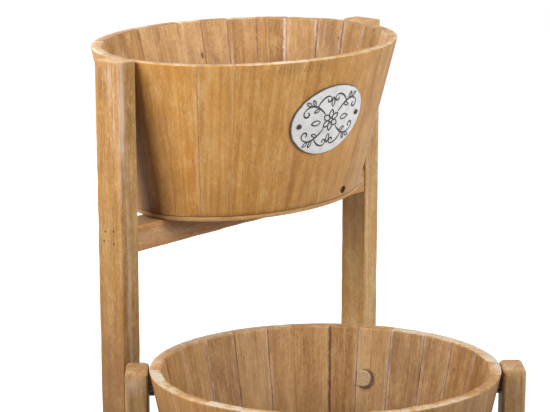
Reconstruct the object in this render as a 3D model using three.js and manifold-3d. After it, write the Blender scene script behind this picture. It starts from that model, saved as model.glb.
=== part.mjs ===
// Folding plant stand in two tiers. Each tier is a flat wooden frame: two posts, a cross rail and a low
// stretcher, with an oval stave tub standing on the rail between the posts. The low frame is hinged to
// the left post of the tall frame, and stands swung out in front of it, so that the four posts carry
// the stand. Millimetres, +Z up, X along the tall frame, origin under the middle of the stand.
import * as THREE from "three";
import { mergeVertices } from "three/addons/utils/BufferGeometryUtils.js";
import Module from "manifold-3d";

const wasm = await Module();
wasm.setup();

// Frames
const frameGap = 300;           // between the inner faces of a frame's two posts
const postWidth = 20;           // along the frame
const postDepth = 30;           // across the frame
const postRound = 1.5;          // of the worn edges of posts and rails
const tallHeight = 650;
const tierDrop = 257;           // from the upper rim down to the lower rim
const openAngle = 46;           // degrees from folded flat, as the stand is set up
const seat = 0.3;               // joint line between pieces that touch

// Rails
const railHeight = 23;
const railInset = 1;            // of a rail's faces behind the posts' faces
const stretcherHeight = 23;
const stretcherLift = 70;       // of the stretcher's underside above the floor

// Tubs
const rimDrop = 1;              // of the rim below the tops of the posts
const tubHeight = 137;
const tubDepth = 249;           // outside, across the frame, at the rim
const baseLength = 244;         // outside, along the frame, at the foot of the staves
const baseDepth = 172;
const wall = 9;
const boardThickness = 4;
const tubFit = 0.3;             // between the rim and each post
const grooveWidth = 1.2;        // of the chamfered seam between two staves
const grooveDepth = 0.7;
const stavesPerPanel = 2;       // glued edge to edge
const outerFacets = 2;          // flats on the outside of one stave

// Share of the inside of the rim that each stave takes, in order from the right-hand end round the back
const upperStaveShares = [
  28, 31, 29.5, 28.5, 27.5, 25, 32, 20, 37, 35, 35, 35, 35,
  35, 28, 30.5, 31, 31, 26, 26.5, 34.5, 34.5, 34.5, 34, 34.5, 28.3,
];
const lowerStaveShares = [
  31, 32, 31, 33, 31, 26, 34, 24, 33, 32, 31, 32, 31.5,
  31.5, 31.5, 31.5, 31.5, 31.5, 31.5, 31.5, 31.5, 31.5, 31.5, 31.5, 31.5, 31.5,
];
const upperFirstSeam = 6.0;     // along the inside of the rim from its right-hand end
const lowerFirstSeam = 8.8;

// Spring clips between the tub's ends and the posts
const clipTopWidth = 0.7;       // it sits where the wedge is that wide
const clipHeight = 18;
const clipDepth = 12;
const clipSheet = 0.5;          // of the clip's two legs
const clipSlots = 3;
const clipSlotHeight = 1.9;
const clipRung = 1.8;           // between two slots, and below the lowest

// Butt hinges
const hingeHeight = 50;
const hingeInset = 95;          // from a hinge's middle to the end of the low post
const leafWidth = 16;           // on the post's face
const leafSheet = 1;
const leafClearance = 0.4;      // between the closed leaves
const barrelRadius = 2.9;
const pinRadius = 1.5;
const pinClearance = 0.12;
const pinHeadRadius = 2.4;
const pinHeadHeight = 1.2;
const knuckles = 3;

// Badges
const badgeLength = 90;
const badgeHeight = 62;
const badgeDrop = 56;           // of its middle below the rim
const badgeShift = -12.8;       // of its middle along the front, towards the hinged posts
const badgeTilt = 3.5;          // degrees, its free end up
const badgeSheet = 1.2;
const badgeCrown = 1;           // rise of its middle over its edge
const badgeScrewSpan = 72.5;
const badgeScrewRadius = 2.4;
const badgeScrewHeight = 1.4;

const lowHeight = tallHeight - tierDrop;
const railTop = rimDrop + tubHeight + boardThickness + 2 * seat;   // below the tops of the posts
const endTaper = (frameGap / 2 - tubFit - baseLength / 2) / tubHeight;   // of the tub's ends, with depth
const clipDrop = (clipTopWidth + 2 * seat - tubFit) / endTaper;
const hingeGap = 2 * (seat + leafSheet) + leafClearance;
const pivotX = frameGap / 2 + postWidth + seat + barrelRadius;
const pivotY = (postDepth + hingeGap) / 2;

const colours = {
  post: [0xb0875a, 0.62, 0],
  rail: [0xa87c4e, 0.66, 0],
  stave: [0xb98f5c, 0.58, 0],
  board: [0xb08a5e, 0.7, 0],
  enamel: [0xd7d4d4, 0.35, 0],
  blackSteel: [0x1c1a19, 0.45, 0.7],
};

function material(kind) {
  const [color, roughness, metalness] = colours[kind];
  return new THREE.MeshStandardMaterial({ color, roughness, metalness });
}

function piece(name, geometry, kind) {
  const mesh = new THREE.Mesh(geometry, material(kind));
  mesh.name = name;
  return mesh;
}

// Closed skin over a stack of rings that all have the same number of points, anticlockwise from above
function loft(rings) {
  const count = rings[0].length;
  const position = rings.flat().flatMap((p) => [p.x, p.y, p.z]);
  const index = [];
  for (let r = 0; r + 1 < rings.length; r++) {
    for (let i = 0; i < count; i++) {
      const a = r * count + i;
      const b = r * count + ((i + 1) % count);
      index.push(a, b, b + count, a, b + count, a + count);
    }
  }
  const outline = rings[0].map((p) => new THREE.Vector2(p.x, p.y));
  const top = (rings.length - 1) * count;
  for (const [a, b, c] of THREE.ShapeUtils.triangulateShape(outline, [])) {
    index.push(c, b, a, top + a, top + b, top + c);
  }
  const geometry = new THREE.BufferGeometry();
  geometry.setAttribute("position", new THREE.Float32BufferAttribute(position, 3));
  geometry.setIndex(index);
  geometry.computeVertexNormals();
  return geometry;
}

// Upright bar of rectangular section, softened along its edges and round its ends, on its lower end
function softBar(width, depth, height) {
  const bevel = postRound / 2;
  const x = width / 2 - postRound;
  const y = depth / 2 - postRound;
  const shape = new THREE.Shape();
  for (const [i, [right, back]] of [[1, 1], [-1, 1], [-1, -1], [1, -1]].entries()) {
    shape.absarc(right * x, back * y, postRound - bevel, i * Math.PI / 2, (i + 1) * Math.PI / 2);
  }
  const geometry = new THREE.ExtrudeGeometry(shape, {
    depth: height - 2 * bevel,
    bevelThickness: bevel,
    bevelSize: bevel,
    bevelSegments: 2,
    curveSegments: 2,
  });
  return geometry.translate(0, 0, bevel);
}

// An oval with half sizes a and b: its point at an angle, and the length walked per radian there
function oval(a, b) {
  return {
    point: (angle) => new THREE.Vector2(a * Math.cos(angle), b * Math.sin(angle)),
    speed: (angle) => Math.hypot(a * Math.sin(angle), b * Math.cos(angle)),
  };
}

// The angle reached on an oval after walking a length along it from a starting angle
function walk(curve, length, from = 0) {
  const steps = 400;
  let angle = from;
  for (let i = 0; i < steps; i++) {
    const half = angle + (length / steps / curve.speed(angle)) / 2;
    angle += length / steps / curve.speed(half);
  }
  return angle;
}

// Half sizes of the tub's outside at a depth below the rim, moved out or in by an offset
function tubOval(drop, offset = 0) {
  const share = drop / tubHeight;
  const rimHalf = frameGap / 2 - tubFit;
  const a = THREE.MathUtils.lerp(rimHalf, baseLength / 2, share) + offset;
  const b = THREE.MathUtils.lerp(tubDepth / 2, baseDepth / 2, share) + offset;
  return oval(a, b);
}

// Seam angles round the tub, from the shares of the staves
function seamAngles(shares, firstSeam) {
  const inside = tubOval(0, -wall);
  const total = shares.reduce((sum, share) => sum + share, 0);
  const steps = 720;
  let round = 0;
  for (let i = 0; i < steps; i++) round += inside.speed((i / steps) * 2 * Math.PI) * 2 * Math.PI / steps;
  const angles = [walk(inside, firstSeam)];
  for (const share of shares.slice(0, -1)) {
    angles.push(walk(inside, share * round / total, angles.at(-1)));
  }
  angles.push(angles[0] + 2 * Math.PI);
  return angles;
}

// Where the face of one stave starts and ends on an oval: half a joint line in from the panel's own
// ends, and half a groove in from a seam inside the panel
function staveFace(curve, seams, s) {
  const startTrim = s === 0 ? seat : grooveWidth;
  const endTrim = s + 2 === seams.length ? seat : grooveWidth;
  const from = seams[s] + startTrim / 2 / curve.speed(seams[s]);
  const to = seams[s + 1] - endTrim / 2 / curve.speed(seams[s + 1]);
  return [from, to];
}

// Section of a panel of staves at one depth below the rim, anticlockwise from above
function panelSection(seams, drop, z) {
  const outer = tubOval(drop);
  const inner = tubOval(drop, -wall);
  const outside = [];
  const inside = [];
  for (let s = 0; s + 1 < seams.length; s++) {
    const [from, to] = staveFace(outer, seams, s);
    for (let i = 0; i <= outerFacets; i++) {
      outside.push(outer.point(THREE.MathUtils.lerp(from, to, i / outerFacets)));
    }
    inside.push(...staveFace(inner, seams, s).map(inner.point));
    if (s + 2 < seams.length) {
      outside.push(tubOval(drop, -grooveDepth).point(seams[s + 1]));
      inside.push(tubOval(drop, grooveDepth - wall).point(seams[s + 1]));
    }
  }
  return [...outside, ...inside.reverse()].map((p) => new THREE.Vector3(p.x, p.y, z));
}

// A point on the tub's outside: length along the rim from the middle of the front, depth below the rim
function onWall(length, drop, rimZ, stand) {
  const angle = walk(tubOval(0), length, -Math.PI / 2);
  const place = (offset) => {
    const flat = tubOval(drop, offset).point(angle);
    return new THREE.Vector3(flat.x, flat.y, rimZ - drop);
  };
  const outline = tubOval(drop);
  const ahead = outline.point(angle + 0.001).sub(outline.point(angle - 0.001));
  const lower = tubOval(drop + 1).point(angle);
  const higher = tubOval(drop - 1).point(angle);
  const along = new THREE.Vector3(ahead.x, ahead.y, 0);
  const up = new THREE.Vector3(higher.x - lower.x, higher.y - lower.y, 2);
  const normal = along.cross(up).normalize();
  return { position: place(0).addScaledVector(normal, stand), normal };
}

// A point on the tub's outside: x and y on the badge from its middle
function onBadge(x, y, rimZ, stand) {
  const tilted = new THREE.Vector2(x, y).rotateAround(new THREE.Vector2(), THREE.MathUtils.degToRad(badgeTilt));
  return onWall(badgeShift + tilted.x, badgeDrop - tilted.y, rimZ, stand);
}

// Oval plate bent to the tub's wall, a little crowned
function badgeGeometry(rimZ) {
  const rings = 5;
  const around = 40;
  const position = [];
  const index = [];
  const add = (share, angle, stand) => {
    const x = share * Math.cos(angle) * badgeLength / 2;
    const y = share * Math.sin(angle) * badgeHeight / 2;
    position.push(...onBadge(x, y, rimZ, stand).position.toArray());
  };
  for (const front of [true, false]) {
    const start = position.length / 3;
    const height = (share) => (front ? seat + badgeSheet + badgeCrown * (1 - share * share) : seat);
    add(0, 0, height(0));
    for (let r = 1; r <= rings; r++) {
      for (let i = 0; i < around; i++) add(r / rings, (i / around) * 2 * Math.PI, height(r / rings));
    }
    const face = (a, b, c) => index.push(...(front ? [a, b, c] : [c, b, a]));
    for (let i = 0; i < around; i++) {
      const j = (i + 1) % around;
      face(start, start + 1 + i, start + 1 + j);
      for (let r = 0; r + 1 < rings; r++) {
        const a = start + 1 + r * around;
        face(a + i, a + around + i, a + around + j);
        face(a + i, a + around + j, a + j);
      }
    }
  }
  const frontEdge = 1 + (rings - 1) * around;
  const backEdge = frontEdge + 1 + rings * around;
  for (let i = 0; i < around; i++) {
    const j = (i + 1) % around;
    index.push(frontEdge + i, backEdge + i, backEdge + j, frontEdge + i, backEdge + j, frontEdge + j);
  }
  const geometry = new THREE.BufferGeometry();
  geometry.setAttribute("position", new THREE.Float32BufferAttribute(position, 3));
  geometry.setIndex(index);
  geometry.computeVertexNormals();
  return geometry;
}

// Domed screw head, its flat side down at the origin
function screwHead() {
  const dome = new THREE.EllipseCurve(0, 0, badgeScrewRadius, badgeScrewHeight, 0, Math.PI / 2);
  const profile = [new THREE.Vector2(0, 0), ...dome.getPoints(4)];
  profile.at(-1).x = 0;
  return new THREE.LatheGeometry(profile, 16).rotateX(Math.PI / 2);
}

function badgePieces(prefix, rimZ) {
  const pieces = [piece(`${prefix}_badge`, badgeGeometry(rimZ), "enamel")];
  for (const [side, sign] of [["left", -1], ["right", 1]]) {
    const x = sign * badgeScrewSpan / 2;
    const share = x / (badgeLength / 2);
    const stand = 2 * seat + badgeSheet + badgeCrown * (1 - share * share);
    const spot = onBadge(x, 0, rimZ, stand);
    const screw = piece(`${prefix}_badge_screw_${side}`, screwHead(), "blackSteel");
    screw.position.copy(spot.position);
    screw.quaternion.setFromUnitVectors(new THREE.Vector3(0, 0, 1), spot.normal);
    pieces.push(screw);
  }
  return pieces;
}

// Clip that fills the wedge between a post and the tub's end, seen from the front as a slotted wedge
function clipGeometry() {
  const inner = (depth) => tubFit + depth * endTaper - seat;    // the wall's face, out from the post
  const bottom = clipDrop + clipHeight;
  const shape = new THREE.Shape();
  shape.moveTo(seat, -bottom);
  shape.lineTo(inner(bottom), -bottom);
  shape.lineTo(inner(clipDrop), -clipDrop);
  shape.lineTo(seat, -clipDrop);
  for (let i = 0; i < clipSlots; i++) {
    const low = bottom - clipRung - i * (clipSlotHeight + clipRung);
    const high = low - clipSlotHeight;
    const slot = new THREE.Path();
    slot.moveTo(seat + clipSheet, -low);
    slot.lineTo(seat + clipSheet, -high);
    slot.lineTo(inner(high) - clipSheet, -high);
    slot.lineTo(inner(low) - clipSheet, -low);
    shape.holes.push(slot);
  }
  const geometry = new THREE.ExtrudeGeometry(shape, { depth: clipDepth, bevelEnabled: false });
  return geometry.translate(0, 0, -clipDepth / 2).rotateX(Math.PI / 2);
}

// A clip stands at each end of the tub, on the post's inner face
function clipPieces(prefix, height) {
  return [["left", 0], ["right", Math.PI]].map(([side, turn]) => {
    const clip = piece(`${prefix}_clip_${side}`, clipGeometry(), "blackSteel");
    clip.rotation.z = turn;
    clip.position.set(turn === 0 ? -frameGap / 2 : frameGap / 2, 0, height - rimDrop);
    return clip;
  });
}

function tubPieces(prefix, height, shares, firstSeam) {
  const rimZ = height - rimDrop;
  const seams = seamAngles(shares, firstSeam);
  const pieces = [];
  for (let s = 0; s < shares.length; s += stavesPerPanel) {
    const panel = seams.slice(s, s + stavesPerPanel + 1);
    const rings = [tubHeight, 0].map((drop) => panelSection(panel, drop, rimZ - drop));
    const number = String(s / stavesPerPanel + 1).padStart(2, "0");
    pieces.push(piece(`${prefix}_staves_${number}`, loft(rings), "stave"));
  }
  const base = tubOval(tubHeight);
  const outline = Array.from({ length: 48 }, (_, i) => base.point((i / 48) * 2 * Math.PI));
  const ring = (z) => outline.map((p) => new THREE.Vector3(p.x, p.y, z));
  const boardTop = rimZ - tubHeight - seat;
  const board = loft([ring(boardTop - boardThickness), ring(boardTop)]);
  pieces.push(piece(`${prefix}_tub_base`, board, "board"));
  return pieces;
}

// A bar between the posts, laid along X with its top at a height
function crossBar(name, size, top) {
  const bar = piece(name, softBar(size, postDepth - 2 * railInset, frameGap - 2 * seat), "rail");
  bar.rotation.y = Math.PI / 2;
  bar.position.set(seat - frameGap / 2, 0, top - size / 2);
  return bar;
}

// One frame with its tub, its middle over the origin
function tier(prefix, height, tub, shares, firstSeam) {
  const group = new THREE.Group();
  for (const [side, sign] of [["left", -1], ["right", 1]]) {
    const post = piece(`${prefix}_post_${side}`, softBar(postWidth, postDepth, height), "post");
    post.position.x = sign * (frameGap + postWidth) / 2;
    group.add(post);
  }
  group.add(crossBar(`${prefix}_tub_rail`, railHeight, height - railTop));
  group.add(crossBar(`${prefix}_stretcher`, stretcherHeight, stretcherLift + stretcherHeight));
  group.add(...tubPieces(tub, height, shares, firstSeam));
  group.add(...clipPieces(tub, height));
  group.add(...badgePieces(tub, height - rimDrop));
  return group;
}

// Welds a three.js geometry into a solid for joining and cutting
function solid(geometry) {
  const bare = geometry.clone();
  bare.deleteAttribute("normal");
  bare.deleteAttribute("uv");
  const welded = mergeVertices(bare, 1e-4);
  return new wasm.Manifold(new wasm.Mesh({
    numProp: 3,
    vertProperties: new Float32Array(welded.attributes.position.array),
    triVerts: new Uint32Array(welded.index.array),
  }));
}

function geometryOf(body) {
  const { vertProperties, triVerts } = body.getMesh();
  const geometry = new THREE.BufferGeometry();
  geometry.setAttribute("position", new THREE.BufferAttribute(vertProperties, 3));
  geometry.setIndex(new THREE.BufferAttribute(triVerts, 1));
  geometry.computeVertexNormals();
  return geometry;
}

function upright(radius, height, z) {
  return new THREE.CylinderGeometry(radius, radius, height, 24).rotateX(Math.PI / 2).translate(0, 0, z);
}

// A leaf lies on the face of a post with its knuckles round the pin, which stands at the origin. The
// tall post's leaf is behind the pin and has the outer knuckles, the low post's is in front of it.
function leafGeometry(behind) {
  const side = behind ? 1 : -1;
  const y = side * (leafClearance + leafSheet) / 2;
  const start = barrelRadius + seat;
  const plate = new THREE.BoxGeometry(leafWidth, leafSheet, hingeHeight);
  let leaf = solid(plate.translate(start + leafWidth / 2, y, 0));
  const pitch = hingeHeight / knuckles;
  for (let k = 0; k < knuckles; k++) {
    if ((k % 2 === 0) !== behind) continue;
    const z = (k + 0.5) * pitch - hingeHeight / 2;
    const tongueEnd = start + leafSheet;
    const tongue = new THREE.BoxGeometry(tongueEnd, leafSheet, pitch - seat);
    tongue.translate(tongueEnd / 2, y, z);
    leaf = leaf.add(solid(upright(barrelRadius, pitch - seat, z))).add(solid(tongue));
  }
  leaf = leaf.subtract(solid(upright(pinRadius + pinClearance, 2 * hingeHeight, 0)));
  return geometryOf(leaf);
}

function pinGeometry() {
  const reach = hingeHeight / 2 + seat;
  const end = reach + pinHeadHeight;
  const half = [[pinRadius, reach], [pinHeadRadius, reach], [pinHeadRadius, end], [0, end]];
  const mirrored = half.map(([radius, z]) => [radius, -z]).reverse();
  const profile = [...mirrored, ...half].map(([radius, z]) => new THREE.Vector2(radius, z));
  return new THREE.LatheGeometry(profile, 24).rotateX(Math.PI / 2);
}

// The two frames are built about their own middles and meet at the pivot line of the hinges
function buildStand() {
  const stand = new THREE.Group();
  const tall = tier("tall", tallHeight, "upper", upperStaveShares, upperFirstSeam);
  const low = tier("low", lowHeight, "lower", lowerStaveShares, lowerFirstSeam);
  const pivot = new THREE.Group();
  pivot.position.set(-pivotX, -pivotY, 0);
  pivot.rotation.z = THREE.MathUtils.degToRad(-openAngle);
  low.position.set(pivotX, -pivotY, 0);
  pivot.add(low);
  stand.add(tall, pivot);
  for (const [place, z] of [["top", lowHeight - hingeInset], ["bottom", hingeInset]]) {
    const tallLeaf = piece(`hinge_${place}_tall_leaf`, leafGeometry(true), "blackSteel");
    tallLeaf.position.set(-pivotX, -pivotY, z);
    const pin = piece(`hinge_${place}_pin`, pinGeometry(), "blackSteel");
    pin.position.copy(tallLeaf.position);
    const lowLeaf = piece(`hinge_${place}_low_leaf`, leafGeometry(false), "blackSteel");
    lowLeaf.position.z = z;
    stand.add(tallLeaf, pin);
    pivot.add(lowLeaf);
  }
  return stand;
}

const stand = buildStand();
const extent = new THREE.Box3().setFromObject(stand, true);
const middle = extent.getCenter(new THREE.Vector3());
stand.position.set(-middle.x, -middle.y, -extent.min.z);

export default stand;
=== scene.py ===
"""Looks of the folding two-tier plant stand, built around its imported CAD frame."""
import random
from math import atan2, cos, exp, hypot, pi, radians, sin

import bpy
import numpy as np
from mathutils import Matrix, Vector, noise

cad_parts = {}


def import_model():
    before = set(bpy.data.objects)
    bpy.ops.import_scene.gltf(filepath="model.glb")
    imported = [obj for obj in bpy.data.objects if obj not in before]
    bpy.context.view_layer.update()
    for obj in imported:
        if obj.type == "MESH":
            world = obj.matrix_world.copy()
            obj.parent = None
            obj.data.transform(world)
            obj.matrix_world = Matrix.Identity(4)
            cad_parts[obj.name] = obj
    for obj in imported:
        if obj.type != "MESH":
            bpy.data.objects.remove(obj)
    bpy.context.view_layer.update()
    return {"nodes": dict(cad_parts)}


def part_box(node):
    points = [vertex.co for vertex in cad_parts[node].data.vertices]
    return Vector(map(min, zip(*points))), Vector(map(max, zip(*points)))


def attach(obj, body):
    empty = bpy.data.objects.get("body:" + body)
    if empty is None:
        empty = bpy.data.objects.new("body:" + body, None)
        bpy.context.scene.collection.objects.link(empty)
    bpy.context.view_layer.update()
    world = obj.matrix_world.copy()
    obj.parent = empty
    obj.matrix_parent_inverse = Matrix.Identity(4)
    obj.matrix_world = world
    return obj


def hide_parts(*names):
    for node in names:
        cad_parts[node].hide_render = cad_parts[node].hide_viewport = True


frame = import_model()

# Sizes from part.mjs, in metres
POST_WIDTH = 0.020
POST_DEPTH = 0.030
FRAME_GAP = 0.300
SEAT = 0.0003
RAIL_HEIGHT = 0.023
RAIL_INSET = 0.001
STRETCHER_LIFT = 0.070
RIM_DROP = 0.001
TUB_HEIGHT = 0.137
TUB_DEPTH = 0.249
BASE_LENGTH = 0.244
BASE_DEPTH = 0.172
WALL = 0.009
BOARD = 0.004
TUB_FIT = 0.0003
UPPER_SHARES = [28, 31, 29.5, 28.5, 27.5, 25, 32, 20, 37, 35, 35, 35, 35, 35, 28, 30.5, 31, 31, 26, 26.5,
                34.5, 34.5, 34.5, 34, 34.5, 28.3]
LOWER_SHARES = [31, 32, 31, 33, 31, 26, 34, 24, 33, 32, 31, 32] + [31.5] * 14
UPPER_FIRST_SEAM = 0.006
LOWER_FIRST_SEAM = 0.0088
BADGE_LENGTH = 0.090
BADGE_HEIGHT = 0.062
BADGE_DROP = 0.056
BADGE_SHIFT = -0.0128
BADGE_TILT = radians(3.5)
BADGE_SHEET = 0.0012
BADGE_CROWN = 0.001
BADGE_SCREW_SPAN = 0.0725
HINGE_INSET = 0.095
LEAF_WIDTH = 0.016
BARREL_RADIUS = 0.0029

FAR = 9.0        # an attribute's value where its feature is absent


# ------------------------ materials

def srgb(red, green, blue):
    """A colour as eight-bit sRGB, in the linear numbers that the nodes use."""
    def linear(value):
        value /= 255
        return value / 12.92 if value <= 0.04045 else ((value + 0.055) / 1.055) ** 2.4
    return (linear(red), linear(green), linear(blue), 1.0)


class Shader:
    """A material or world under construction. Each method adds nodes and returns the last one's output.
    Plain colours come in as eight-bit sRGB."""

    def __init__(self, owner):
        self.owner = owner
        owner.use_nodes = True
        self.tree = owner.node_tree

    def feed(self, socket, value):
        if isinstance(value, bpy.types.NodeSocket):
            self.tree.links.new(value, socket)
        else:
            socket.default_value = value

    def add(self, kind, inputs, **settings):
        node = self.tree.nodes.new(kind)
        for key, value in settings.items():
            setattr(node, key, value)
        for key, value in inputs.items():
            self.feed(node.inputs[key], value)
        return node

    def attribute(self, name, output="Fac"):
        return self.add("ShaderNodeAttribute", {}, attribute_name=name).outputs[output]

    def stretched(self, vector, scale):
        return self.add("ShaderNodeMapping", {"Vector": vector, "Scale": scale}).outputs["Vector"]

    def noise(self, vector, scale, detail=3.0, roughness=0.55, distortion=0.0):
        """Noise from 0 to 1 whose features are 1 / scale metres long, one number for each grain axis."""
        inputs = {"Vector": self.stretched(vector, scale), "Scale": 1.0, "Detail": detail,
                  "Roughness": roughness, "Distortion": distortion}
        return self.add("ShaderNodeTexNoise", inputs).outputs["Fac"]

    def math(self, operation, first, second=0.0, third=0.0, clamp=False):
        inputs = {0: first, 1: second, 2: third}
        return self.add("ShaderNodeMath", inputs, operation=operation, use_clamp=clamp).outputs[0]

    def times(self, first, second):
        return self.math("MULTIPLY", first, second)

    def length(self, vector):
        return self.add("ShaderNodeVectorMath", {0: vector}, operation="LENGTH").outputs["Value"]

    def weighted(self, value, *terms):
        """A value, plus each term's source times its share."""
        for source, share in terms:
            value = self.math("MULTIPLY_ADD", source, share, value)
        return value

    def shaken(self, value, *shakes):
        """A value moved up and down by noises, each with its reach."""
        return self.weighted(value, *((self.math("SUBTRACT", source, 0.5), reach) for source, reach in shakes))

    def ramp(self, value, low, high, start=0.0, end=1.0):
        """Smooth step from start to end as value goes from low to high."""
        inputs = {"Value": value, "From Min": low, "From Max": high, "To Min": start, "To Max": end}
        return self.add("ShaderNodeMapRange", inputs, interpolation_type="SMOOTHSTEP").outputs["Result"]

    def colours(self, value, stops):
        node = self.add("ShaderNodeValToRGB", {"Fac": value})
        elements = node.color_ramp.elements
        while len(elements) < len(stops):
            elements.new(0.5)
        for element, (place, colour) in zip(elements, stops):
            element.position = place
            element.color = srgb(*colour)
        return node.outputs["Color"]

    def mix(self, share, first, second, blend="MIX"):
        inputs = {0: share, 6: first, 7: second}
        return self.add("ShaderNodeMix", inputs, data_type="RGBA", blend_type=blend).outputs[2]

    def tint(self, share, first, colour, blend="MIX"):
        """The first colour with a share of a plain one."""
        return self.mix(share, first, srgb(*colour), blend)

    def bump(self, height, distance):
        inputs = {"Strength": 0.6, "Distance": distance, "Height": height}
        return self.add("ShaderNodeBump", inputs).outputs["Normal"]

    def finish(self, colour, roughness, normal, specular=0.5):
        inputs = self.tree.nodes["Principled BSDF"].inputs
        for name, value in (("Base Color", colour), ("Roughness", roughness), ("Normal", normal),
                            ("Specular IOR Level", specular)):
            self.feed(inputs[name], value)
        return self.owner

    def even(self, kind, grey, **more):
        """Output of a node of one even grey."""
        return self.add(kind, {"Color": (grey, grey, grey, 1)} | more).outputs[0]

    def show(self, lit, seen):
        """Shows seen to the camera, to mirrors and through glass, and lights the object with lit."""
        rays = self.add("ShaderNodeLightPath", {}).outputs
        share = self.math("MAXIMUM", rays["Is Camera Ray"], rays["Is Glossy Ray"])
        share = self.math("MAXIMUM", share, rays["Is Transmission Ray"])
        mix = self.add("ShaderNodeMixShader", {0: share, 1: lit, 2: seen}).outputs[0]
        end = "World Output" if isinstance(self.owner, bpy.types.World) else "Material Output"
        self.feed(self.tree.nodes[end].inputs["Surface"], mix)


def new_shader(name):
    return Shader(bpy.data.materials.new(name))


def wood(name, outside, inside=None, streak=1.0, pale=0.35):
    """Stained softwood. The attribute grain runs across, through and along the wood in metres. Others give
    the piece's own shade (tone, end_tone, stain; on the staves tone also holds painted shade), a painted
    shade multiplied over the whole piece, and where its marks are (face, seam, joint, bleach, rim, worn,
    knot, eye, specks, and the painted shade inside the knot hole)."""
    s = new_shader(name)
    grain = s.attribute("grain", "Vector")
    broad = s.noise(grain, (55, 55, 4.5), 2.0)
    figure = s.noise(grain, (230, 230, 7), 3.0, distortion=0.6)
    band = s.noise(grain, (520, 520, 22), 3.0, 0.65)
    fibre = s.noise(grain, (1300, 1300, 40), 4.0, 0.65)
    flecks = s.noise(grain, (820, 820, 300), 3.0, 0.7)
    pores = s.noise(grain, (2600, 2600, 160), 2.0, 0.6)
    blotch = s.noise(grain, (90, 90, 28), 3.0)
    cloud = s.noise(grain, (150, 150, 110), 4.0, 0.7)
    mottle = s.noise(grain, (75, 75, 36), 6.0, 0.78)

    shade = s.weighted(s.times(s.attribute("tone"), 0.4), (figure, 0.34), (broad, 0.62), (flecks, 0.32),
                       (band, 0.34), (cloud, 0.20), (blotch, 0.26))
    middle_shade, contrast = 1.24, 1.4
    shade = s.math("MULTIPLY_ADD", s.math("SUBTRACT", shade, middle_shade), contrast, 0.5)

    def palette(colours):
        places = (0.16, 0.42, 0.62, 0.88)
        return s.colours(shade, list(zip(places, colours)))

    gold = s.times(s.attribute("stain"), s.ramp(broad, 0.25, 0.7, 0.55, 1.0))
    colour = s.mix(gold, palette(outside), s.colours(figure, [(0.3, (176, 112, 38)), (0.7, (206, 148, 66))]))
    if inside is not None:
        colour = s.mix(s.ramp(s.attribute("face"), 0.3, 0.7), colour, palette(inside))
    # mottling, darker and lighter fibres, and fine pores: where each begins and is full, its share, its colour
    for source, begins, full, share, mark in (
            (mottle, 0.50, 0.66, 0.42, (220, 180, 118)),
            (mottle, 0.49, 0.35, 0.34, (146, 102, 54)),
            (fibre, 0.46, 0.30, 0.40 * streak, (128, 84, 38)),
            (fibre, 0.58, 0.76, 0.34 * streak, (232, 196, 140)),
            (band, 0.40, 0.27, 0.30 * streak, (138, 92, 42)),
            (flecks, 0.43, 0.29, 0.46, (122, 82, 40)),
            (flecks, 0.58, 0.72, 0.36, (230, 192, 132)),
            (pores, 0.36, 0.25, 0.4, (110, 70, 32))):
        colour = s.tint(s.times(s.ramp(source, begins, full), share), colour, mark)
    # chalky wear in patches, more where the attribute worn says so
    rubbed = s.weighted(s.times(band, 0.46), (cloud, 0.24), (blotch, 0.22))
    rubbed = s.math("ADD", rubbed, s.times(s.attribute("worn"), 0.40))
    chalk = s.math("ADD", s.times(s.ramp(rubbed, 0.52, 0.74), pale), s.times(s.ramp(rubbed, 0.66, 0.84), 0.45),
                   clamp=True)
    colour = s.tint(chalk, colour, (206, 178, 154))
    # knots: a dark eye in rings of turned grain
    reach = s.shaken(s.length(s.attribute("knot", "Vector")), (cloud, 1.1))
    rings = s.math("SINE", s.times(reach, 8.0))
    eye = s.attribute("eye")
    halo = s.times(s.ramp(reach, 3.4, 0.9), s.ramp(rings, -0.3, 0.9))
    halo = s.times(halo, s.math("SUBTRACT", 1.05, eye))
    colour = s.tint(s.times(halo, 0.45), colour, (138, 92, 50))
    colour = s.tint(s.times(s.ramp(reach, 1.15, 0.55), eye), colour, (84, 54, 34))
    # seams: a dark line, and beside it a ragged pale edge
    seam = s.attribute("seam")
    ragged = s.shaken(seam, (flecks, 0.0040), (cloud, 0.0062), (blotch, 0.0095))
    edge = s.times(s.ramp(ragged, 0.0030, 0.0006), s.times(s.attribute("bleach"), 0.9))
    edge = s.times(edge, s.ramp(mottle, 0.40, 0.56, 0.25, 1.0))
    colour = s.tint(edge, colour, (220, 196, 176))
    joint = s.attribute("joint")
    line = s.shaken(seam, (cloud, 0.0020), (flecks, 0.0026))
    for begins, full, share, mark in ((0.0024, 0.0006, 0.36, (134, 84, 44)),
                                      (0.0011, 0.0002, 0.85, (104, 68, 40))):
        colour = s.tint(s.times(s.ramp(line, begins, full), s.times(joint, share)), colour, mark)
    # sawn ends: each with its own wear, grey-white where it has lost its stain
    ends = s.shaken(s.attribute("end_tone"), (blotch, 0.7), (cloud, 1.1))
    ends = s.colours(ends, [(0.15, (152, 104, 52)), (0.42, (176, 130, 76)),
                            (0.62, (194, 158, 108)), (0.84, (208, 194, 172))])
    ends = s.tint(s.times(s.ramp(flecks, 0.46, 0.34), 0.5), ends, (130, 90, 50))
    colour = s.mix(s.times(s.ramp(s.attribute("rim"), 0.35, 0.8), 0.92), colour, ends)
    # dark specks, painted shade in hollows, and painted shade over the whole piece
    marks = s.times(s.times(s.ramp(cloud, 0.46, 0.54), s.ramp(flecks, 0.47, 0.57)), s.attribute("specks"))
    colour = s.tint(s.times(marks, 0.9), colour, (84, 52, 34))
    # painted shade inside the knot hole
    colour = s.tint(s.attribute("char"), colour, (16, 8, 4))
    # painted shade, multiplied over the whole piece
    colour = s.tint(s.attribute("soil"), colour, (118, 90, 58), "MULTIPLY")

    relief = s.weighted(fibre, (flecks, 0.5), (pores, 0.35))
    roughness = s.weighted(0.42, (chalk, 0.2), (fibre, 0.22))
    return s.finish(colour, roughness, s.bump(relief, 0.0004), specular=0.35)


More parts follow.
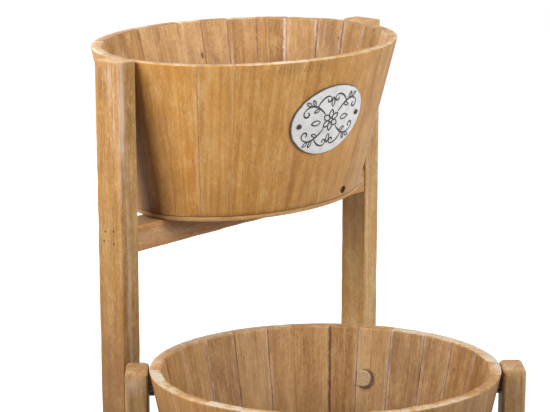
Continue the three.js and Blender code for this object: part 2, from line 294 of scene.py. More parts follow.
def painted(name, colour, second, roughness, relief=0.00005, edge=None):
    """Smooth paint or enamel with faint mottling, a darker band at its edge where one is given, and fine
    unevenness.
    """
    s = new_shader(name)
    place = s.add("ShaderNodeTexCoord", {}).outputs["Object"]
    mottle = s.noise(place, (140, 140, 140), 4.0)
    fine = s.noise(place, (1900, 1900, 1900), 2.0)
    mixed = s.mix(s.ramp(mottle, 0.42, 0.72), srgb(*colour), srgb(*second))
    if edge is not None:
        mixed = s.tint(s.ramp(s.shaken(s.attribute("seam"), (mottle, 0.002)), 0.0011, 0.0003), mixed, edge)
    return s.finish(mixed, s.weighted(roughness - 0.12, (mottle, 0.25)), s.bump(fine, relief))


def knot_wood():
    """The end grain of a loose knot, in rings."""
    s = new_shader("knot_wood")
    grain = s.attribute("grain", "Vector")
    speckle = s.noise(grain, (600, 600, 600), 4.0)
    reach = s.weighted(s.length(s.stretched(grain, (1, 0, 1))), (speckle, 0.0012))
    rings = s.math("SINE", s.times(reach, 4200))
    colour = s.colours(speckle, [(0.3, (140, 112, 80)), (0.55, (172, 144, 108)), (0.8, (192, 166, 132))])
    colour = s.tint(s.times(s.ramp(rings, 0.2, 1.0), 0.18), colour, (120, 90, 64))
    return s.finish(colour, 0.6, s.bump(speckle, 0.0003))


STAVE = wood("stave_wood",
             outside=[(156, 112, 58), (184, 142, 82), (198, 160, 102), (212, 180, 126)],
             inside=[(144, 102, 56), (176, 132, 80), (190, 148, 96), (206, 172, 128)],
             pale=0.22)
POST = wood("post_wood",
            outside=[(140, 94, 44), (172, 124, 66), (188, 144, 84), (204, 168, 116)],
            inside=[(132, 98, 54), (160, 122, 70), (176, 138, 88), (194, 160, 112)],
            streak=1.2, pale=0.45)
RAIL = wood("rail_wood", outside=[(146, 104, 66), (176, 134, 92), (192, 154, 112), (206, 174, 138)],
            streak=1.1, pale=0.4)
PLY = wood("plywood", outside=[(124, 86, 44), (150, 108, 60), (164, 122, 72), (180, 142, 94)], pale=0.2)
ENAMEL = painted("enamel", (213, 212, 211), (196, 194, 195), 0.36, edge=(86, 78, 74))
BLACK_ENAMEL = painted("black_enamel", (30, 27, 28), (46, 42, 42), 0.40)
BLACK_STEEL = painted("black_steel", (24, 22, 21), (44, 40, 38), 0.46, 0.00008)
# painted shadow round the loose knot's plug
KNOT_SHADOW = painted("knot_shadow_paint", (92, 62, 40), (122, 86, 56), 0.8, 0.0003)
NAIL = painted("nail_steel", (44, 30, 20), (66, 46, 30), 0.7, 0.0001)
KNOT = knot_wood()


# ------------------------ mesh helpers

def new_object(name, data):
    made = bpy.data.objects.new(name, data)
    bpy.context.scene.collection.objects.link(made)
    return made


def tube_faces(rings, count, caps=True):
    """Faces of a skin over rings of count points each, anticlockwise seen from the last ring's side."""
    faces = []
    for r in range(rings - 1):
        for i in range(count):
            a = r * count + i
            b = r * count + (i + 1) % count
            faces.append((a, b, b + count, a + count))
    if caps:
        top = (rings - 1) * count
        faces += [tuple(range(count - 1, -1, -1)), tuple(range(top, top + count))]
    return faces


def dome_faces(rings, count):
    """Faces of a skin over rings, closed by a flat bottom and by a fan to one last point."""
    top = (rings - 1) * count
    return (tube_faces(rings, count, caps=False) + [tuple(range(count - 1, -1, -1))]
            + [(top + i, top + (i + 1) % count, top + count) for i in range(count)])


def add_copy(points, faces, more_points, more_faces):
    """Adds a form's points and faces to lists that hold others."""
    faces += [tuple(len(points) + i for i in face) for face in more_faces]
    points += list(more_points)


def turns(count):
    """Angles of a full turn in equal steps."""
    return [i / count * 2 * pi for i in range(count)]


def rotated(x, y, angle):
    return x * cos(angle) - y * sin(angle), x * sin(angle) + y * cos(angle)


def wave(x, y, z):
    """Smooth noise from -1 to 1."""
    return noise.noise(Vector((x, y, z)))


def wobble(x, y, z, seed):
    return wave(x + 7.3 * seed, y - 3.1 * seed, z + 1.7 * seed)


def record(attributes, **values):
    """Adds one point's values to lists kept by name."""
    for key, value in values.items():
        attributes.setdefault(key, []).append(value)


# ------------------------ frames

def middle(node):
    lowest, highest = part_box(node)
    return (lowest + highest) / 2


class Tier:
    """One of the two hinged frames: where its middle is and which way it runs."""

    def __init__(self, prefix, tub, body, shares, first_seam):
        self.prefix, self.tub, self.body = prefix, tub, body
        left, right = middle(f"{prefix}_post_left"), middle(f"{prefix}_post_right")
        self.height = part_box(f"{prefix}_post_left")[1].z
        self.rim = self.height - RIM_DROP
        self.bars = {"tub_rail": self.rim - TUB_HEIGHT - BOARD - 2 * SEAT - RAIL_HEIGHT / 2,
                     "stretcher": STRETCHER_LIFT + RAIL_HEIGHT / 2}
        self.along = np.array((right - left).normalized())
        self.across = np.array((-self.along[1], self.along[0], 0.0))
        self.origin = np.array(((left.x + right.x) / 2, (left.y + right.y) / 2, 0.0))
        self.shares = shares
        self.seams = seam_angles(shares, first_seam)

    def place(self, points):
        points = np.asarray(points, float)
        return (self.origin + np.outer(points[:, 0], self.along) + np.outer(points[:, 1], self.across)
                + np.outer(points[:, 2], (0, 0, 1)))

    def piece(self, name, points, faces, attributes, material, slot, nodes=(), smooth=38, placed=False):
        """A piece that rides on this frame and stands for CAD nodes. Its points are in the frame's own
        directions, or placed already. Edges sharper than smooth, in degrees, stay sharp."""
        if not placed:
            points = self.place(points)
        mesh = bpy.data.meshes.new(name)
        mesh.from_pydata([tuple(map(float, p)) for p in points], [], [tuple(map(int, f)) for f in faces])
        for key, values in attributes.items():
            values = np.asarray(values, dtype=np.float32)
            kind, field = ("FLOAT_VECTOR", "vector") if values.ndim == 2 else ("FLOAT", "value")
            mesh.attributes.new(key, kind, "POINT").data.foreach_set(field, values.ravel())
        mesh.update()
        mesh.shade_smooth()
        mesh.set_sharp_from_angle(angle=radians(smooth))
        mesh.materials.append(material)
        piece = new_object(name, mesh)
        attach(piece, self.body)
        if nodes:
            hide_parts(*nodes)

    def wooden(self, node, points, faces, seed, extra, material, slot):
        """A wooden piece without seams or knots of its own."""
        attributes = plain_attributes(len(points), seed, extra)
        self.piece(f"{node}_wood", points, faces, attributes, material, slot, [node])


def oval_halves(drop, offset=0.0):
    """Half sizes of a tub's outside at a depth below its rim, moved out or in by an offset."""
    share = drop / TUB_HEIGHT
    a = (FRAME_GAP / 2 - TUB_FIT) * (1 - share) + BASE_LENGTH / 2 * share
    b = TUB_DEPTH / 2 * (1 - share) + BASE_DEPTH / 2 * share
    return a + offset, b + offset


def oval_point(halves, angle):
    return np.array((halves[0] * cos(angle), halves[1] * sin(angle)))


def oval_speed(halves, angle):
    return hypot(halves[0] * sin(angle), halves[1] * cos(angle))


def walk(halves, length, angle, steps=200):
    """The angle reached on an oval after a length along it."""
    step = length / steps
    for _ in range(steps):
        half = angle + step / oval_speed(halves, angle) / 2
        angle += step / oval_speed(halves, half)
    return angle


def seam_angles(shares, first_seam):
    inside = oval_halves(0, -WALL)
    steps = 720
    turn = 2 * pi / steps
    round_ = sum(oval_speed(inside, i * turn) * turn for i in range(steps))
    angles = [walk(inside, first_seam, 0.0)]
    for share in shares[:-1]:
        angles.append(walk(inside, share / sum(shares) * round_, angles[-1]))
    return angles + [angles[0] + 2 * pi]


def on_wall(length, drop, stand):
    """A point of a tub's own frame, stand in front of its outside: length along the rim from the middle
    of the front, depth below the rim. Its height is counted from the rim."""
    angle = walk(oval_halves(0), length, -pi / 2, 60)
    spot = np.append(oval_point(oval_halves(drop), angle), -drop)
    tiny = 0.001
    ahead = oval_point(oval_halves(drop), angle + tiny) - oval_point(oval_halves(drop), angle - tiny)
    rise = oval_point(oval_halves(drop - tiny), angle) - oval_point(oval_halves(drop + tiny), angle)
    normal = np.cross(np.append(ahead, 0.0), np.append(rise, 2 * tiny))
    normal /= np.linalg.norm(normal)
    return spot + normal * stand, normal


UPPER = Tier("tall", "upper", "tall_frame", UPPER_SHARES, UPPER_FIRST_SEAM)
LOWER = Tier("low", "lower", "low_frame", LOWER_SHARES, LOWER_FIRST_SEAM)
TIERS = (UPPER, LOWER)
SIDES = (("left", -1), ("right", 1))


# ------------------------ posts and bars

def rounded_section(width, depth, radius, pitch):
    """Points of a rounded rectangle, anticlockwise, each with its outward direction and edge share."""
    points = []
    corners = ((1, 1), (-1, 1), (-1, -1), (1, -1))
    arc_steps = 5
    centres = [np.array((right * (width / 2 - radius), back * (depth / 2 - radius))) for right, back in corners]
    for quarter, centre in enumerate(centres):
        for i in range(arc_steps + 1):
            angle = (quarter + i / arc_steps) * pi / 2
            direction = np.array((cos(angle), sin(angle)))
            points.append((centre + radius * direction, direction, 1.0))
        angle = (quarter + 1) * pi / 2
        direction = np.array((cos(angle), sin(angle)))
        start, end = centre + radius * direction, centres[(quarter + 1) % 4] + radius * direction
        count = max(3, round(np.linalg.norm(end - start) / pitch))
        for i in range(1, count):
            points.append((start + (end - start) * i / count, direction, 0.0))
    return points


def bar(width, depth, length, seed, worn, radius, end_radius):
    """A worn bar along Z on its lower end: points, faces and attributes in its own frame."""
    point_pitch, ring_pitch, bevel_steps = 0.0026, 0.007, 5
    section = rounded_section(width, depth, radius, point_pitch)
    ends = [(end_radius * (1 - sin(a)), end_radius * (1 - cos(a)))
            for a in np.linspace(pi / 2, 0, bevel_steps)]
    rings = np.linspace(end_radius, length - end_radius, max(4, round(length / ring_pitch)))[1:-1]
    stack = ends + [(z, 0.0) for z in rings] + [(length - z, inset) for z, inset in reversed(ends)]
    points, attributes = [], {}
    for z, inset in stack:
        for spot, direction, edge in section:
            x, y = spot
            waver = 0.00012 * wobble(x * 25, y * 25, z * 14, seed)
            dent = edge * max(0.0, wobble(x * 60, y * 60, z * 45, seed + 2) - 0.18) * 0.0011
            moved = spot + direction * (waver - dent - 0.00014) - np.sign(spot) * inset
            points.append((moved[0], moved[1], z))
            corner = hypot(width / 2 - abs(x), depth / 2 - abs(y))
            record(attributes,
                   grain=(x + 3.1 * seed, y + 1.3 * seed, z),
                   rim=max(0.0, 1 - min(z, length - z) / (0.5 * end_radius)),
                   worn=worn(x, y, z) + 0.15 * edge,
                   stain=0.85 * exp(-(corner / 0.0042) ** 2),
                   face=abs(direction[1]) ** 2)
    return points, tube_faces(len(stack), len(section)), attributes


def shade_by_height(heights):
    """Share of painted shade by height: more towards the floor."""
    return 0.04 + 0.60 * np.clip((0.56 - np.asarray(heights)) / 0.32, 0, 1)


def plain_attributes(count, seed, extra):
    """Attributes of a wooden piece without seams or knots of its own."""
    picker = random.Random(seed)
    values = {"tone": np.full(count, picker.uniform(0.25, 0.75)),
              "end_tone": np.full(count, picker.uniform(0.35, 0.6)),
              "seam": np.full(count, FAR), "knot": np.full((count, 3), FAR)}
    for key in ("face", "rim", "worn", "stain", "soil", "joint", "bleach", "eye", "char", "specks"):
        values[key] = np.zeros(count)
    return values | extra


def spots(*marks):
    """Worn places of a post: each a middle (x, y, z), a reach in each direction, and a strength."""
    def worn(x, y, z):
        total = 0.0
        for centre, reach, strength in marks:
            away = sum(((value - c) / r) ** 2 for value, c, r in zip((x, y, z), centre, reach))
            total += strength * exp(-away)
        return total
    return worn


def make_posts():
    front = -POST_DEPTH / 2
    tall, low = UPPER.height, LOWER.height
    wear = {
        ("tall", "left"): spots(
            ((-0.010, -0.004, tall - 0.020), (0.006, 0.0018, 0.026), 0.75),
            ((-0.010, -0.0075, tall - 0.055), (0.006, 0.0013, 0.050), 0.65),
            ((-0.006, front, tall - 0.030), (0.0025, 0.004, 0.080), 0.65),
            ((-0.009, front, tall - 0.040), (0.0026, 0.004, 0.100), 0.5),
            ((-0.002, front, tall - 0.190), (0.003, 0.004, 0.120), 0.7),
            ((0.002, front, tall - 0.300), (0.004, 0.004, 0.060), 0.8),
            ((-0.010, 0.004, tall - 0.012), (0.006, 0.006, 0.010), 0.6)),
        ("tall", "right"): spots(
            ((-0.005, front, tall - 0.160), (0.0014, 0.004, 0.240), 0.60),
            ((0.001, front, tall - 0.240), (0.0020, 0.004, 0.300), 0.42)),
        ("low", "left"): spots(
            ((0.0, front, low - 0.012), (0.009, 0.006, 0.010), 0.75),
            ((-0.006, front, low - 0.040), (0.004, 0.005, 0.030), 0.3)),
        ("low", "right"): spots(((0.003, front, low - 0.060), (0.004, 0.004, 0.090), 0.5)),
    }
    unshaded_post = "tall", "right"                                     # the free tall post gets no painted shade, and a lighter tone: its own paler wood, and painted light for its side under the upper tub
    for number, tier in enumerate(TIERS):
        for side, sign in SIDES:
            post = tier.prefix, side
            seed = 3 + 2 * number + (sign > 0)
            radii = (0.0028, 0.0038) if tier is LOWER else (0.0016, 0.0014)
            points, faces, extra = bar(POST_WIDTH, POST_DEPTH, tier.height, seed, wear[post], *radii)
            points = [(x + sign * (FRAME_GAP + POST_WIDTH) / 2, y, z) for x, y, z in points]
            # painted shade towards the floor: more on the tall left post, none on the free one
            shade_share = 0.0 if post == unshaded_post else 1.4 if tier is UPPER else 1.0
            extra["soil"] = shade_share * shade_by_height([z for _, _, z in points])
            if post == unshaded_post:
                extra["tone"] = np.full(len(points), 0.7)
            tier.wooden(f"{tier.prefix}_post_{side}", points, faces, seed, extra, POST, "post")


def make_rails():
    for number, tier in enumerate(TIERS):
        for kind, height in tier.bars.items():
            seed = 11 + 2 * number + (kind == "stretcher")
            length = FRAME_GAP - 2 * SEAT
            points, faces, extra = bar(RAIL_HEIGHT, POST_DEPTH - 2 * RAIL_INSET, length, seed, spots(),
                                       radius=0.0012, end_radius=0.0003)
            # laid along the frame: its own Z runs to the right, its own X downwards
            points = [(z - length / 2, y, height - x) for x, y, z in points]
            # painted shade on the rails, darker towards the floor
            extra.update(face=np.zeros(len(points)), soil=shade_by_height([z for _, _, z in points]))
            tier.wooden(f"{tier.prefix}_{kind}", points, faces, seed, extra, RAIL, "rail")


# ------------------------ tubs

RIM_ROUND = 0.0010
OUTER_STEPS = 10
INNER_SHARES = (0, 0.05, 0.12, 0.24, 0.40, 0.60, 0.76, 0.88, 0.95, 1)
STAVE_LEVELS = 26
STAVE_GAP = 0.00002
OUTER_CHAMFER = 0.00006
INNER_CHAMFER = 0.00045
WIDE_SEAMS = {("lower", 6): 0.0004, ("upper", 8): 0.0004}      # joints whose inner edges have worn wide
# How dark each joint's line is and how bleached its edges are, by face and tub; others are drawn at random
JOINTS = {
    ("inner", "upper"): {0: (0.80, 1.0), 1: (0.65, 0.8), 2: (0.50, 1.0), 3: (0.50, 0.3), 4: (0.60, 0.7),
                         5: (0.55, 0.1), 6: (0.15, 0.2), 7: (0.20, 0.1), 8: (0.40, 0.0), 9: (0.20, 0.2),
                         25: (0.40, 0.5)},
    ("inner", "lower"): {1: (0.30, 0.5), 2: (0.65, 0.6), 3: (0.60, 0.8), 4: (0.45, 0.9), 5: (0.45, 0.6),
                         6: (0.85, 0.1), 7: (0.08, 0.0), 8: (0.55, 0.6), 9: (0.65, 0.3), 10: (0.50, 0.8),
                         11: (0.20, 0.7), 12: (0.60, 0.0)},
    ("outer", "upper"): {14: (0.06, 0.0), 15: (0.40, 0.20), 16: (0.12, 0.1), 17: (0.0, 0.0), 18: (0.10, 0.0),
                         19: (0.0, 0.0), 20: (0.06, 0.0), 21: (0.08, 0.0)},
}
# Knots of single staves: along the stave's width from its middle, below the rim, radius, stretch, darkness
# of the eye, and whether it goes through to the outside
KNOTS = {
    ("upper", 5): (-0.0100, 0.0315, 0.0023, 1.5, 0.85, False),
    ("upper", 4): (0.0004, 0.0370, 0.0034, 1.1, 0.25, False),
    ("upper", 0): (-0.0104, 0.0160, 0.0010, 1.3, 0.80, False),
    # this eye lies under the loose knot's plug and is moved off its middle: the dark round the plug is a
    # painted shadow
    ("lower", 4): (0.0052, 0.0450, 0.0095, 1.0, 0.80, False),
    ("lower", 1): (0.0062, 0.0225, 0.0014, 1.3, 0.70, False),
    ("upper", 10): (0.0040, 0.0600, 0.0030, 1.6, 0.60, True),
    ("upper", 7): (-0.0020, 0.0950, 0.0022, 1.6, 0.80, True),
    ("lower", 3): (-0.0040, 0.0900, 0.0028, 1.6, 0.70, True),
    ("lower", 10): (0.0030, 0.0700, 0.0024, 1.6, 0.80, True),
    ("lower", 17): (-0.0040, 0.0850, 0.0026, 1.5, 0.70, True),
}
NO_KNOT = (0.0, -1.0, 0.001, 1.0, 0.0, True)
# A knot hole near the foot of the upper tub's front, on a joint: how far past it, below the rim, half sizes,
# lean, depth, and how far around it the mesh is finer
HOLE = {"tub": "upper", "joint": 21, "past": 0.0006, "drop": 0.1312, "halves": (0.0044, 0.0030),
        "lean": radians(24), "depth": 0.0045, "finer": (0.0060, 0.0052)}
# Dark specks under the upper tub's front rim
SPECKLED = {"tub": "upper", "staves": (17, 18), "drop": 0.0055, "reach": 0.0035}


def joint_of(tier, seam, face):
    """Darkness and bleaching of one joint, seen from one face."""
    picker = random.Random(f"{tier.tub}{seam}{face}")
    if face == "inner":
        plain = (picker.uniform(0.3, 0.8), picker.uniform(0.1, 0.9))
    else:
        plain = (picker.uniform(0.0, 0.15), 0.05)
    return JOINTS.get((face, tier.tub), {}).get(seam % len(tier.shares), plain)


def chip(x, y):
    """Wear of the rim's edge at a place, in metres."""
    coarse, fine = wave(x * 70, y * 70, 3.0), wave(x * 210, y * 210, 8.0)
    return 0.00035 * max(0.0, coarse) + 0.00050 * max(0.0, fine - 0.2)


def hollow_at(x, y):
    """Depth of the knot hole, from 0 to 1, at a place counted from its middle: along the wall, and up."""
    x, y = rotated(x, y, HOLE["lean"])
    reach = hypot(x / HOLE["halves"][0], y / HOLE["halves"][1])
    return min(1.0, max(0.0, (1.12 - reach) / 0.2))


class Stave:
    """One stave of a tub: cross sections from its foot to its rounded rim."""

    def __init__(self, tier, index):
        self.tier, self.index = tier, index
        self.seed = index + (40 if tier is LOWER else 0)
        self.picker = random.Random(self.seed)
        self.ends = tier.seams[index], tier.seams[index + 1]
        self.centre = sum(self.ends) / 2
        count = len(tier.shares)
        self.wide = [WIDE_SEAMS.get((tier.tub, (index + side) % count), 0.0) for side in (0, 1)]
        self.joints = {(face, side): joint_of(tier, index + side, face)
                       for face in ("outer", "inner") for side in (0, 1)}
        self.lift = self.picker.uniform(-0.00015, 0.0001)
        self.proud = self.picker.uniform(-0.00006, 0.00002)
        self.levels = list(np.linspace(TUB_HEIGHT - 0.004, RIM_ROUND + 0.0012, STAVE_LEVELS))
        self.outer_shares = list(np.linspace(0, 1, OUTER_STEPS + 1))
        self.has_hole = tier.tub == HOLE["tub"] and index - HOLE["joint"] in (-1, 0)
        if self.has_hole:
            self.refine_at_hole()

    def refine_at_hole(self):
        """Finds the knot hole on this stave's width, and adds levels and shares of the width around it."""
        drop, (across, down) = HOLE["drop"], HOLE["finer"]
        self.hole_width = (self.ends[1] - self.ends[0]) * oval_speed(oval_halves(drop), self.centre)
        self.hole_share = (HOLE["joint"] - self.index) + HOLE["past"] / self.hole_width
        span = across / self.hole_width
        finer = np.linspace(max(self.hole_share - span, 0.002), min(self.hole_share + span, 0.998), 24)
        self.outer_shares = sorted(self.outer_shares + list(finer))
        levels = sorted(self.levels + list(np.linspace(drop - down, drop + down, 34)), reverse=True)
        self.levels = [level for level in levels if level < TUB_HEIGHT - 0.0006]

    def drops(self):
        """Depths below the rim, each with how far the skin is drawn in there."""
        foot = 0.0004
        return ([(TUB_HEIGHT, foot), (TUB_HEIGHT - foot, 0.0)] + [(level, 0.0) for level in self.levels]
                + [(RIM_ROUND * (1 - sin(a)), RIM_ROUND * (1 - cos(a)))
                   for a in np.linspace(0, pi / 2, 5)])

    def chamfer(self, face, side, drop):
        """Size of one long edge's wear."""
        level = 5.0 if face == "outer" else 9.0
        shake = 1 + 0.7 * wave(drop * 90, self.ends[side] * 9, level)
        if face == "outer":
            return OUTER_CHAMFER * shake
        return (INNER_CHAMFER * (0.3 + 0.7 * self.joints["inner", side][0]) + 0.7 * self.wide[side]) * shake

    def section(self, drop, inset):
        """Points of one cross section: place, face, distance to the joint, side of the stave, hollow."""
        outer, inner = oval_halves(drop, self.proud - inset), oval_halves(drop, -WALL + inset * 0.8)
        chamfers = {key: self.chamfer(*key, drop) for key in self.joints}

        def edge(halves, side, away):
            angle, inward = self.ends[side], 1 - 2 * side
            return angle + inward * (STAVE_GAP + inset * 0.35 + away) / oval_speed(halves, angle)

        def corner(face, side):
            chamfer = chamfers[face, side]
            halves = oval_halves(drop, self.proud - inset - chamfer if face == "outer"
                                 else -WALL + inset * 0.8 + chamfer)
            return oval_point(halves, edge(halves, side, 0.0)), float(face == "inner"), 0.0, side, 0.0

        low, high = (edge(outer, side, chamfers["outer", side]) for side in (0, 1))
        section = [corner("outer", 0)]
        for share in self.outer_shares:
            angle = low + (high - low) * share
            away = min(angle - low, high - angle) * oval_speed(outer, angle) + 0.0004
            hollow = 0.0
            if self.has_hole:
                hollow = hollow_at((share - self.hole_share) * self.hole_width, HOLE["drop"] - drop)
            halves = oval_halves(drop, self.proud - inset - hollow * HOLE["depth"])
            section.append((oval_point(halves, angle), 0.0, away, int(share > 0.5), hollow))
        section += [corner("outer", 1), corner("inner", 1)]
        start, end = (oval_point(inner, edge(inner, side, chamfers["inner", side])) for side in (1, 0))
        width = np.linalg.norm(end - start)
        for share in INNER_SHARES:
            side = int(share < 0.5)
            away = max(0.0, min(share, 1 - share) * width + 0.0006 - 0.8 * self.wide[side])
            section.append((start + (end - start) * share, 1.0, away, side, 0.0))
        return section + [corner("inner", 0)]

    def soil(self, drop, height, angle, face):
        """Painted shade of one point: towards the floor, on the outside by the posts where they shadow the
        tub's ends, inside the upper tub towards its ends, and outside at the right of the front, where the
        lamps light the wood too brightly.
        """
        rim_share = 0.45 if drop < 2 * RIM_ROUND else 1.0
        by_posts = exp(-(sin(angle) / 0.24) ** 2) * (1 - face) * min(1.0, drop / 0.05)
        return (rim_share * shade_by_height(height) * (1.25 - 0.45 * face) + 0.66 * by_posts
                + (0.2 * face * cos(angle) ** 4 if self.tier is UPPER else 0.0)
                + 0.12 * (1 - face) * max(0.0, cos(angle - radians(335))))

    def skin(self):
        """Points, faces and attributes of the whole stave, in its tub's frame."""
        tub, rim, seed = self.tier.tub, self.tier.rim, self.seed
        knot_across, knot_drop, radius, stretch, eye, through = KNOTS.get((tub, self.index), NO_KNOT)
        speckled = tub == SPECKLED["tub"] and self.index in SPECKLED["staves"]
        points, attributes = [], {}
        drops = self.drops()
        for drop, inset in drops:
            outer = oval_halves(drop, self.proud - inset)
            near_rim = exp(-((drop - SPECKLED["drop"]) / SPECKLED["reach"]) ** 2) if speckled else 0.0
            section = self.section(drop, inset)
            for spot, face, away, side, hollow in section:
                angle = atan2(spot[1] / outer[1], spot[0] / outer[0])
                off = (angle - self.centre + pi) % (2 * pi) - pi
                across = off * oval_speed(outer, self.centre)
                worn_off = chip(*spot) * max(0.0, 1 - drop / 0.008)
                height = rim + self.lift * (1 - drop / TUB_HEIGHT) - drop - worn_off
                points.append((spot[0], spot[1], height))
                dark, bleached = self.joints["inner" if face else "outer", side]
                record(attributes,
                       grain=(across + 0.37 * seed, face * WALL + 0.11 * seed, -drop + 0.23 * seed),
                       seam=away, joint=dark, bleach=bleached, face=face,
                       rim=1.0 if drop < RIM_ROUND * 0.4 else 0.0,
                       knot=((across - knot_across) / radius, 0.0 if through else FAR * (1 - face),
                             (drop - knot_drop) / radius / stretch),
                       # painted shade: the knot hole's inside is drawn near black
                       char=min(1.0, 4 * hollow),
                       specks=near_rim * (1 - face),
                       soil=self.soil(drop, height, angle, face))
        attributes.update(self.shades(1 - np.array(attributes["face"])), eye=np.full(len(points), eye))
        return points, tube_faces(len(drops), len(section)), attributes

    def shades(self, outside):
        """The stave's own shades, drawn at random. The stain is deepest at the left of the front. The outside
        is darker towards the right of the front, a painted shade, and the front of the rim is paler along its
        outer edge, rubbed and with a painted highlight."""
        picker, centre = self.picker, self.centre
        inner_tone = picker.uniform(0.1, 0.8)
        # painted shade: the outside darker towards the right of the front
        outer_tone_and_shade = 0.17 - 0.36 * max(0.0, cos(centre - radians(330)))
        stain = 0.35 + 0.45 * cos(centre - radians(205)) + picker.uniform(-0.12, 0.12)
        end_tone = picker.choice((0.25, 0.4, 0.45, 0.5, 0.55, 0.75)) + picker.uniform(-0.08, 0.08)
        # partly painted highlight: the rim's outer edge paler, more at the front
        edge_wear_and_highlight = 0.32 if sin(centre) < 0 else 0.24
        even = np.ones(len(outside))
        return {"tone": inner_tone * (1 - 0.5 * outside) + outer_tone_and_shade * outside,
                "stain": even * max(0.0, stain),
                "end_tone": end_tone - (0.02 if self.tier is LOWER else 0.14) + edge_wear_and_highlight * outside,
                "worn": even * picker.uniform(0.0, 0.25)}


LOOSE_KNOT = {"tub": "lower", "stave": 4, "drop": 0.0442, "radius": 0.0073, "cut": 0.0060, "rise": 0.0011}
KNOT_SHADOW_RADIUS = 0.0084
KNOT_SHADOW_SHIFT = (0.0020, 0.0008)       # away from the joint, and down


def ragged(amount, pitch, angle, level):
    """A radius factor that makes a ring uneven."""
    return 1 + amount * wave(cos(angle) * pitch, sin(angle) * pitch, level)


def make_loose_knot(tier, node):
    """The lower tub's big knot: a grey plug that stands a little out of the wood, cut off by the joint, and
    a painted shadow beside it: a dark disc under the plug, moved away from the joint and down."""
    index, drop, radius, cut, rise = (LOOSE_KNOT[key] for key in ("stave", "drop", "radius", "cut", "rise"))
    around = 48

    def spot(x, down, stand):
        """A place on the stave's inner face, counted from the knot's middle."""
        level = oval_halves(drop + down, -WALL)
        start, end = (oval_point(level, tier.seams[index + side]) for side in (0, 1))
        along = (start - end) / np.linalg.norm(start - end)
        inward = np.array((-along[1], along[0]))
        if inward @ end > 0:
            inward = -inward
        flat = end + along * (cut + 0.0004 + x) + inward * stand
        return flat[0], flat[1], tier.rim - drop - down

    rings = ((1.0, -0.0010), (1.0, rise * 0.45), (0.95, rise * 0.85), (0.84, rise), (0.55, rise * 0.92),
             (0.25, rise * 0.8))
    points, grain = [], []
    for share, stand in rings:
        for angle in turns(around):
            uneven = ragged(0.035, 2, angle, 1.0)
            x = radius * share * uneven * cos(angle)
            y = radius * share * uneven * sin(angle)
            if x < 0:                                       # cut straight along the joint
                x = max(2.4 * x, -cut * (0.4 + 0.6 * share))
                y = radius * share * max(-0.94, min(0.94, 1.3 * sin(angle)))
            dip = 0.0002 * wave(x * 500, y * 500, 2.0)
            points.append(spot(x, y, stand + dip))
            grain.append((x, 0.0, y))
    points.append(spot(0.0, 0.0, rise * 0.75))
    grain.append((0.0, 0.0, 0.0))
    faces = dome_faces(len(rings), around)
    tier.piece(f"{tier.tub}_knot", points, faces, {"grain": grain}, KNOT, "stave", [node])
    # painted shadow of the plug: a dark disc behind it, moved away from the joint and down
    shadow_rings = ((1.0, -0.0010), (1.0, 0.0001), (0.9, 0.00025), (0.5, 0.0003))
    points = []
    for share, stand in shadow_rings:
        for angle in turns(around):
            reach = KNOT_SHADOW_RADIUS * share * ragged(0.10, 3, angle, 7.0)
            x = KNOT_SHADOW_SHIFT[0] + reach * cos(angle)
            y = KNOT_SHADOW_SHIFT[1] + reach * sin(angle)
            points.append(spot(max(x, -cut * (0.4 + 0.6 * share)), y, stand))
    tier.piece(f"{tier.tub}_knot_shadow_disc", points, tube_faces(len(shadow_rings), around), {}, KNOT_SHADOW, "stave", [node])


def make_tub(tier):
    for index in range(len(tier.shares)):
        node = f"{tier.tub}_staves_{index // 2 + 1:02d}"
        tier.piece(f"{tier.tub}_stave_{index + 1:02d}", *Stave(tier, index).skin(), STAVE, "stave", [node])
        if (tier.tub, index) == (LOOSE_KNOT["tub"], LOOSE_KNOT["stave"]):
            make_loose_knot(tier, node)
    make_base_board(tier)


def make_base_board(tier):
    """The plywood under the staves, with eased edges."""
    steps = 96
    profile = ((0.0, 0.0012), (0.0004, 0.0003), (0.0012, 0.0), (0.0028, 0.0), (0.0036, 0.0003), (BOARD, 0.0012))
    bottom = tier.rim - TUB_HEIGHT - SEAT - BOARD
    points, grain = [], []
    for rise, inset in profile:
        for angle in turns(steps):
            x, y = oval_point(oval_halves(TUB_HEIGHT, -inset), angle)
            points.append((x, y, bottom + rise))
            grain.append((y + 2.0, rise * 6, x))
    tier.piece(f"{tier.tub}_tub_base_ply", points, tube_faces(len(profile), steps),
               plain_attributes(len(points), 70, {"grain": grain}), PLY, "board", [f"{tier.tub}_tub_base"])


# ------------------------ badge

LINE_SHARE = 1.7         # how much wider the ornament's lines are than ornament() says
LINE_HEIGHT = 0.00035


def badge_point(tier, x, y, stand):
    """A point on the badge: x and y from its middle, stand over its enamel face."""
    share = min(1.0, hypot(x / (BADGE_LENGTH / 2), y / (BADGE_HEIGHT / 2)))
    over = SEAT + BADGE_SHEET + BADGE_CROWN * (1 - share * share) + stand
    x, y = rotated(x, y, BADGE_TILT)
    spot, normal = on_wall(BADGE_SHIFT + x, BADGE_DROP - y, over)
    spot[2] += tier.rim
    return spot, normal


def ribbon(path, width, height, taper=0.35):
    """A raised line along a path of the badge, thinner at its ends: (x, y, stand) rows and faces."""
    step = np.gradient(path, axis=0)
    step /= np.maximum(np.linalg.norm(step, axis=1), 1e-9)[:, None]
    normal = np.column_stack((-step[:, 1], step[:, 0]))
    share = np.linspace(0, 1, len(path))
    swell = taper + (1 - taper) * np.sin(np.pi * np.clip(share, 0.04, 0.96)) ** 0.6
    foot, shoulder = -0.0001, height * 0.75
    profile = ((-0.5, foot), (-0.42, shoulder), (-0.18, height), (0.18, height), (0.42, shoulder), (0.5, foot))
    rows = [(*(p + n * side * width * w), rise)
            for p, n, w in zip(path, normal, swell) for side, rise in profile]
    return rows, tube_faces(len(path), len(profile))


